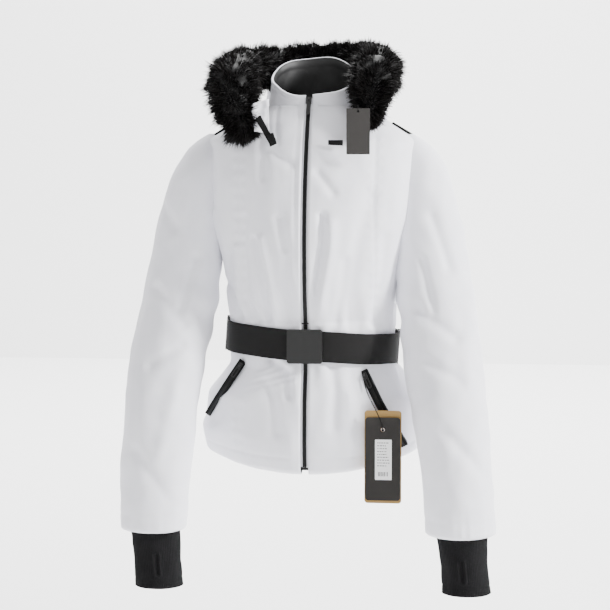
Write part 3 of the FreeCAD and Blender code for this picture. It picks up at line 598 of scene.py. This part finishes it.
def trim_frames(count):
    """Points, radii and side directions along the trim's smooth middle line."""
    knots = np.array(TRIM, float)
    steps = np.linspace(0, len(knots) - 1, count)
    whole = np.clip(steps.astype(int), 0, len(knots) - 2)
    part = (steps - whole)[:, None]
    ends = np.vstack([2 * knots[0] - knots[1], knots, 2 * knots[-1] - knots[-2]])
    a, b, c, d = ends[whole], ends[whole + 1], ends[whole + 2], ends[whole + 3]
    line = 0.5 * (2 * b + (c - a) * part + (2 * a - 5 * b + 4 * c - d) * part ** 2
                  + (3 * b - a - 3 * c + d) * part ** 3)
    way = np.gradient(line[:, :3], axis=0)
    way /= np.linalg.norm(way, axis=1)[:, None]
    side = np.cross(way, [0, 0.2, 1])
    side /= np.linalg.norm(side, axis=1)[:, None]
    return line[:, :3], line[:, 3], way, side, np.cross(side, way)


def fur_piece(name, first, last, seed):
    """One length of the trim's pile: fine tapered hairs."""
    rng = np.random.default_rng(seed)
    count = 240
    line, radius, way, side, up = trim_frames(count)
    at = rng.uniform(first, last, STRANDS) * (count - 1)
    if first == 0:
        at[:3600] = rng.uniform(0, 0.012, 3600) * count
    if last == 1:
        at[:3600] = (1 - rng.uniform(0, 0.012, 3600)) * (count - 1)
    at = np.clip(at, 0, count - 1.001)
    low = at.astype(int)
    part = (at - low)[:, None]

    def mix(v):
        return v[low] * (1 - part) + v[low + 1] * part

    base, away = mix(line), rng.uniform(0, 2 * math.pi, STRANDS)
    r = mix(radius[:, None])[:, 0]
    out = mix(side) * np.cos(away)[:, None] + mix(up) * np.sin(away)[:, None]
    # At the trim's two ends the pile turns outwards over the closed end.
    end_share = np.clip(1 - at / 10, 0, 1) if first == 0 else np.zeros(STRANDS)
    if last == 1:
        end_share = np.clip(1 - (count - 1 - at) / 10, 0, 1)
    end_way = mix(way) * (-1 if first == 0 else 1)
    lean = rng.uniform(0, 1.3, STRANDS) * end_share
    out = out * np.cos(lean)[:, None] + end_way * np.sin(lean)[:, None]
    root_r = (r - PILE_MM) * rng.uniform(0.2, 1, STRANDS)
    clump = np.array([noise.noise(Vector(p) / 17) for p in base + out * r[:, None]])
    length = PILE_MM * (1 + 0.22 * clump) * rng.uniform(0.72, 1.05, STRANDS) + (r - PILE_MM - root_r) * 0.8
    bend = np.stack([np.array([noise.noise(Vector(p) / 21 + Vector((k * 9.1, 0, 0)))
                               for p in (base + out * r[:, None])]) for k in range(3)], -1)
    bend = bend * 0.75 + [0, -0.06, -0.30] + rng.normal(0, 0.16, (STRANDS, 3))
    root = base + out * root_r[:, None]
    across = np.cross(out, rng.normal(0, 1, (STRANDS, 3)))
    across /= np.linalg.norm(across, axis=1)[:, None]
    points, tips = [], []
    for share, width in ((0.0, 0.8), (0.4, 0.75), (0.75, 0.5)):
        centre = root + out * (length * share)[:, None] + bend * (length * share ** 2 * 0.5)[:, None]
        points += [centre - across * width, centre + across * width]
        tips += [share, share]
    points.append(root + out * (length * 0.97)[:, None] + bend * (length * 0.5)[:, None])
    tips.append(1.0)
    points = np.stack(points, 1)
    start = np.arange(STRANDS)[:, None] * 7
    pattern = [[0, 1, 3], [0, 3, 2], [2, 3, 5], [2, 5, 4], [4, 5, 6]]
    faces = np.concatenate([start + np.array(p)[None, :] for p in pattern])
    mesh = bpy.data.meshes.new(name)
    mesh.vertices.add(STRANDS * 7)
    mesh.vertices.foreach_set("co", (points.reshape(-1) * MM).astype(np.float32))
    mesh.loops.add(faces.size)
    mesh.loops.foreach_set("vertex_index", faces.reshape(-1).astype(np.int32))
    mesh.polygons.add(len(faces))
    mesh.polygons.foreach_set("loop_start", np.arange(0, faces.size, 3, dtype=np.int32))
    mesh.update(calc_edges=True)
    mesh.validate()
    # The share along each hair, from root to tip, which the material uses for painted shade at the roots.
    tone = mesh.attributes.new("tip", "FLOAT", "POINT")
    tone.data.foreach_set("value", np.tile(np.array(tips) ** 1.6, STRANDS).astype(np.float32))
    mesh.materials.append(FUR)
    piece = bpy.data.objects.new(name, mesh)
    bpy.context.scene.collection.objects.link(piece)
    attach(piece, "hood")
    return piece


def fur_skin():
    """The trim's skin under its pile: a closed, bumpy tube."""
    rows, columns = 150, 40
    line, radius, way, side, up = trim_frames(rows)
    angle = np.linspace(0, 2 * math.pi, columns, endpoint=False)
    taper = np.sqrt(np.clip(1 - (np.abs(np.linspace(-1, 1, rows)) - 0.94) / 0.0602, 0.001, 1))
    r = (radius - 15) * np.minimum(taper, 1)
    ring = side[:, None] * np.cos(angle)[None, :, None] + up[:, None] * np.sin(angle)[None, :, None]
    points = line[:, None] + ring * r[:, None, None]
    bumps = crumple(points.reshape(-1, 3), 17, 0).reshape(rows, columns)
    points = points + ring * (bumps * 5)[:, :, None]
    faces = grid_faces(rows, columns, True)
    faces += [list(range(columns))[::-1], [(rows - 1) * columns + c for c in range(columns)]]
    skin = mesh_piece("fur_skin", points.reshape(-1, 3) * MM, faces, [FUR])
    outward(skin)
    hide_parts("hood_fur")
    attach(skin, "hood")


fur_skin()
for number, (first, last) in enumerate(((0, 0.36), (0.36, 0.66), (0.66, 1))):
    fur_piece(f"fur_pile_{number + 1}", first, last, 40 + number)


def hood_bag():
    """The hood's cloth, folded down behind the neck: a soft bag with drooping folds."""
    rows, columns = 90, 150
    level = np.linspace(40, -150, rows)
    half, back = eased([(40, 92, 100), (31, 96, 104), (-30, 112, 114), (-100, 92, 103), (-150, 46, 84)],
                       level, 8)
    angle = np.linspace(0, 2 * math.pi, columns, endpoint=False)
    depth = (back - 60) / 2
    x = half[:, None] * np.sin(angle)
    y = 60 + depth[:, None] - depth[:, None] * np.cos(angle)
    z = np.repeat(level[:, None], columns, axis=1)
    sag = 16 * (1 - (x / 112) ** 2) * np.clip((40 - z) / 190, 0, 1)
    points = np.stack([x, y, z], -1).reshape(-1, 3)
    folds = 2.4 * np.sin((z + 0.0032 * x ** 2) / 9.5) * np.clip((20 - z) / 60, 0, 1)
    push = folds + 3.5 * crumple(points, 44, 51).reshape(x.shape)
    push = push * (y > 66)
    x, y, z = x + 0.4 * push * np.sin(angle), y - push * np.cos(angle), z - sag + 8
    faces = grid_faces(rows, columns, True) + [[(rows - 1) * columns + c for c in range(columns)]]
    bag = mesh_piece("hood_cloth", np.stack([x, y, z], -1).reshape(-1, 3) * MM, faces, [WHITE, LINING])
    outward(bag)
    apply(bag, "SOLIDIFY", thickness=2 * MM, offset=-1, material_offset=1)
    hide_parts("hood_shell", "hood_lining")
    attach(bag, "hood")


hood_bag()


def draped_strip(name, corners, rows, columns, thickness, wave, seed, materials, body, dips=()):
    """A piece of cloth between four corners, thickened, with small folds across it."""
    a, b, c, d = (np.array(p, float) for p in corners)
    v, u = np.meshgrid(np.linspace(0, 1, rows), np.linspace(0, 1, columns), indexing="ij")
    points = (a * ((1 - u) * (1 - v))[..., None] + b * (u * (1 - v))[..., None]
              + d * ((1 - u) * v)[..., None] + c * (u * v)[..., None])
    normal = np.cross(b - a, d - a)
    normal /= np.linalg.norm(normal)
    fold = wave * crumple(points.reshape(-1, 3), 13, seed).reshape(rows, columns)
    for centre, width, amount in dips:
        fold += amount * np.exp(-((v - centre) / width) ** 2)
    points = points + normal * fold[..., None]
    piece = mesh_piece(name, points.reshape(-1, 3) * MM, grid_faces(rows, columns, False), materials)
    apply(piece, "SOLIDIFY", thickness=thickness * MM, offset=0)
    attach(piece, body)
    return piece


# ---------------------------------------------------------------- belt
def belt():
    """The elastic belt: one woven band round the waist, with rolled edges and a slight slump."""
    rows, columns = 22, 420
    low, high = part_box("belt_webbing")
    half_x, half_y = (high.x - low.x) / 2 / MM, (high.y - low.y) / 2 / MM
    centre_y = (high.y + low.y) / 2 / MM
    tilt = math.atan(0.0699)
    up = np.linspace(-25, 25, rows)
    profile = [(u, 0.25 * math.cos(u * 1.3)) for u in up]
    ring = profile + [(25.2, -1.1), (24.6, -2.2)] + [(u, -2.4) for u in up[::-1][1:-1]] + \
        [(-24.6, -2.2), (-25.2, -1.1)]
    angle = np.linspace(0, 2 * math.pi, columns, endpoint=False)
    height = np.array([p[0] for p in ring])[:, None] + 0 * angle
    away = np.array([p[1] for p in ring])[:, None] + 0 * angle
    slump = 0.9 * np.sin(3 * angle + 0.5) + 0.5 * np.sin(7 * angle)
    x, y = (half_x + away) * np.sin(angle), -(half_y + away) * np.cos(angle)
    z = height + slump * (1 - 0.5 * np.exp(-(x / 60) ** 2))
    placed = np.stack([x * math.cos(tilt) + z * math.sin(tilt), y + centre_y,
                       -388 - x * math.sin(tilt) + z * math.cos(tilt)], -1)
    faces = grid_faces(len(ring), columns, True)
    last = (len(ring) - 1) * columns
    faces += [[last + c, last + (c + 1) % columns, (c + 1) % columns, c] for c in range(columns)]
    band = mesh_piece("belt", placed.reshape(-1, 3) * MM, faces, [WEBBING])
    outward(band)
    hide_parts("belt_webbing")
    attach(band, "shell")


belt()


# ---------------------------------------------------------------- straps, piping and folded cloth
draped_strip("hood_strap_right_cloth",
             [(-82, -195, -20), (-73, -194, -14), (-49, -195, -58), (-57, -195, -63)],
             24, 6, 1.3, 0.5, 61, [TAPE], "shell")
draped_strip("strap_end_block", [(-63, -197, -46), (-52, -197, -42), (-46, -197, -60), (-57, -197, -65)],
             8, 8, 2.4, 0.2, 62, [TAPE], "shell")
draped_strip("hood_strap_left_cloth",
             [(36, -185.5, -54), (36, -186, -62), (60, -186, -63), (60, -186, -54)],
             6, 16, 1.4, 0.3, 63, [TAPE], "shell")
for strap in ("hood_strap_right", "hood_strap_left"):
    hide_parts(strap)
# The hood's cloth shows crumpled between the collar and the right front of the trim.
draped_strip("hood_fold_right", [(-92, -170, 2), (-64, -164, 12), (-60, -184, -44), (-84, -188, -40)],
             44, 30, 2.5, 5.0, 64, [WHITE], "shell", [(0.3, 0.08, -3), (0.62, 0.07, 3)])


def piping(side):
    """The black piping over the shoulder: a thin round cord sewn along the seam."""
    way = -1 if side == "right" else 1
    low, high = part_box(f"shoulder_piping_{side}")
    inner, outer = (high.x, low.x) if way < 0 else (low.x, high.x)
    points = []
    for t in np.linspace(0, 1, 24):
        level = high.z - 0.0015 + (low.z - high.z + 0.003) * t - 0.001 * t * t
        points.append(Vector((inner + (outer - inner) * t, -0.084 - 0.004 * math.sin(t * math.pi), level)))
    rings = []
    for k, p in enumerate(points):
        way_on = (points[min(k + 1, 23)] - points[max(k - 1, 0)]).normalized()
        side_on = way_on.cross(Vector((0, 1, 0))).normalized()
        radius = 0.0021 * (1 + 0.05 * math.sin(k * 1.7))
        rings += [p + (side_on * math.cos(a) + Vector((0, 1, 0)) * math.sin(a)) * radius
                  for a in np.linspace(0, 2 * math.pi, 12, endpoint=False)]
    faces = grid_faces(24, 12, True) + [list(range(12)), [23 * 12 + c for c in range(12)]]
    tube = mesh_piece(f"piping_{side}", rings, faces, [TAPE])
    outward(tube)
    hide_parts(f"shoulder_piping_{side}")
    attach(tube, "shell")


for side in ("right", "left"):
    piping(side)


# ---------------------------------------------------------------- finishes of the hard parts
zip_fold, zip_shader = finish("white_zip_facing", "#EDEDF3", 0.62)
zip_place = add(zip_fold, "ShaderNodeTexCoord")
zip_axes = add(zip_fold, "ShaderNodeSeparateXYZ", [("Vector", zip_place, "Object")])
zip_away = add(zip_fold, "ShaderNodeMath", [("Value", zip_axes, "X")], operation="ABSOLUTE")
zip_edge = add(zip_fold, "ShaderNodeMath", [("Value", zip_away, "Value")], operation="GREATER_THAN")
zip_edge.inputs[1].default_value = 3.5 * MM
tint(zip_fold, zip_shader, zip_edge, "#060606", "#EDEDF3", "Value")
PAINT = {
    "front_zip_tape_right": zip_fold, "front_zip_tape_left": zip_fold,
    "front_zip_teeth_right": TEETH, "front_zip_teeth_left": TEETH, "front_zip_box": TEETH,
    "front_zip_slider": LACQUER, "front_zip_puller": LACQUER,
    "buckle_base": LACQUER, "buckle_plate": LACQUER,
    "pocket_slider_right": LACQUER, "pocket_slider_left": LACQUER, "strap_snap": LACQUER,
    "pocket_puller_right": LACQUER, "pocket_puller_left": LACQUER,
    "pocket_zip_tape_right": TAPE, "pocket_zip_tape_left": TAPE,
    "pocket_zip_teeth_right": TEETH, "pocket_zip_teeth_left": TEETH,
    "storm_flap": WHITE, "pocket_bag_right": LINING, "pocket_bag_left": LINING,
    "neck_label": LINING, "hanger_loop": TAPE, "belt_loop_right": TAPE, "belt_loop_left": TAPE,
    "neck_tag": GREY, "neck_tag_tie": TAPE, "tag_knot": TAPE, "tag_dark": DARK, "tag_kraft": KRAFT,
    "tag_sticker": LABEL,
}
for node, material in PAINT.items():
    piece = bpy.data.objects[node]
    piece.data.materials.clear()
    piece.data.materials.append(material)


# ---------------------------------------------------------------- printed label and tag string
def label_print():
    """Generic bars and rows of dashes on the price label, standing 0.05 mm off it."""
    low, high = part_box("tag_sticker")
    y = low.y - 0.00005
    points, faces = [], []

    def bar(x0, z0, x1, z1):
        at = len(points)
        points.extend([(x0, y, z0), (x1, y, z0), (x1, y, z1), (x0, y, z1)])
        faces.append([at, at + 1, at + 2, at + 3])

    rng = np.random.default_rng(7)
    x = low.x + 0.005
    while x < high.x - 0.006:
        wide = 0.00035 * int(rng.integers(1, 4))
        bar(x, low.z + 0.006, x + wide, low.z + 0.013)
        x += wide + 0.00035 * int(rng.integers(1, 4))
    for row in range(9):
        z = high.z - 0.006 - row * 0.0047
        x = low.x + 0.0035
        stop = high.x - 0.003 - 0.008 * float(rng.random())
        while x < stop:
            wide = 0.0012 + 0.003 * float(rng.random())
            bar(x, z, min(x + wide, stop), z + 0.0013)
            x += wide + 0.0011
    ink = mesh_piece("label_print", points, faces, [PRINT], smooth=False)
    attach(ink, "hang_tags")


label_print()

route = [(97, -204, -444), (101, -210, -459), (111, -214, -478), (121, -214, -497), (127, -211.5, -513),
         (128, -206.6, -524)]
line = bpy.data.curves.new("string_line", "CURVE")
line.dimensions = "3D"
line.bevel_depth = 0.8 * MM
line.bevel_resolution = 4
line.use_fill_caps = True
spline = line.splines.new("NURBS")
spline.points.add(len(route) - 1)
for point, spot in zip(spline.points, route):
    point.co = (*[v * MM for v in spot], 1)
spline.order_u = 3
spline.use_endpoint_u = True
spline.resolution_u = 16
line.materials.append(TAPE)
string = bpy.data.objects.new("tag_cord", line)
bpy.context.scene.collection.objects.link(string)
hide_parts("tag_string")
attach(string, "hang_tags")


# ---------------------------------------------------------------- stage, light and camera
bpy.ops.mesh.primitive_plane_add(size=30, location=(0, 0, -1.25))
floor = bpy.context.object
bpy.ops.mesh.primitive_plane_add(size=30, location=(0, 7, 2), rotation=(math.pi / 2, 0, 0))
wall = bpy.context.object
STAGE = finish("matt_studio_paper", "#FFFFFF", 0.9)[0]
for sheet in (floor, wall):
    sheet.data.materials.append(STAGE)

world = bpy.data.worlds.new("studio")
bpy.context.scene.world = world
world.use_nodes = True
world.node_tree.nodes["Background"].inputs["Color"].default_value = (1, 1, 1, 1)
world.node_tree.nodes["Background"].inputs["Strength"].default_value = 1.05


def softbox(name, place, target, size, power):
    """A square area light that faces a point."""
    bpy.ops.object.light_add(type="AREA", location=place)
    light = bpy.context.object
    light.name = name
    light.data.size = size
    light.data.energy = power
    light.rotation_euler = (Vector(target) - Vector(place)).to_track_quat("-Z", "Y").to_euler()


softbox("key_light", (2.9, -0.7, 1.3), (0, -0.1, -0.35), 0.6, 260)
softbox("fill_light", (-2.4, -2.0, 0.4), (0, -0.1, -0.4), 2.0, 6)
softbox("wall_light", (0, 3.6, 5.2), (0, 7, -0.3), 4.0, 1300)

azimuth, lift, away = math.radians(6.7), math.radians(5), 3.4
target = Vector((-0.0134, -0.085, -0.331))
sight = Vector((math.sin(azimuth) * math.cos(lift), -math.cos(azimuth) * math.cos(lift), math.sin(lift)))
bpy.ops.object.camera_add(location=target + away * sight)
camera = bpy.context.object
camera.data.lens = 119.4
camera.rotation_euler = (target - camera.location).to_track_quat("-Z", "Y").to_euler()
bpy.context.scene.camera = camera
bpy.context.scene.render.resolution_x = bpy.context.scene.render.resolution_y = 610
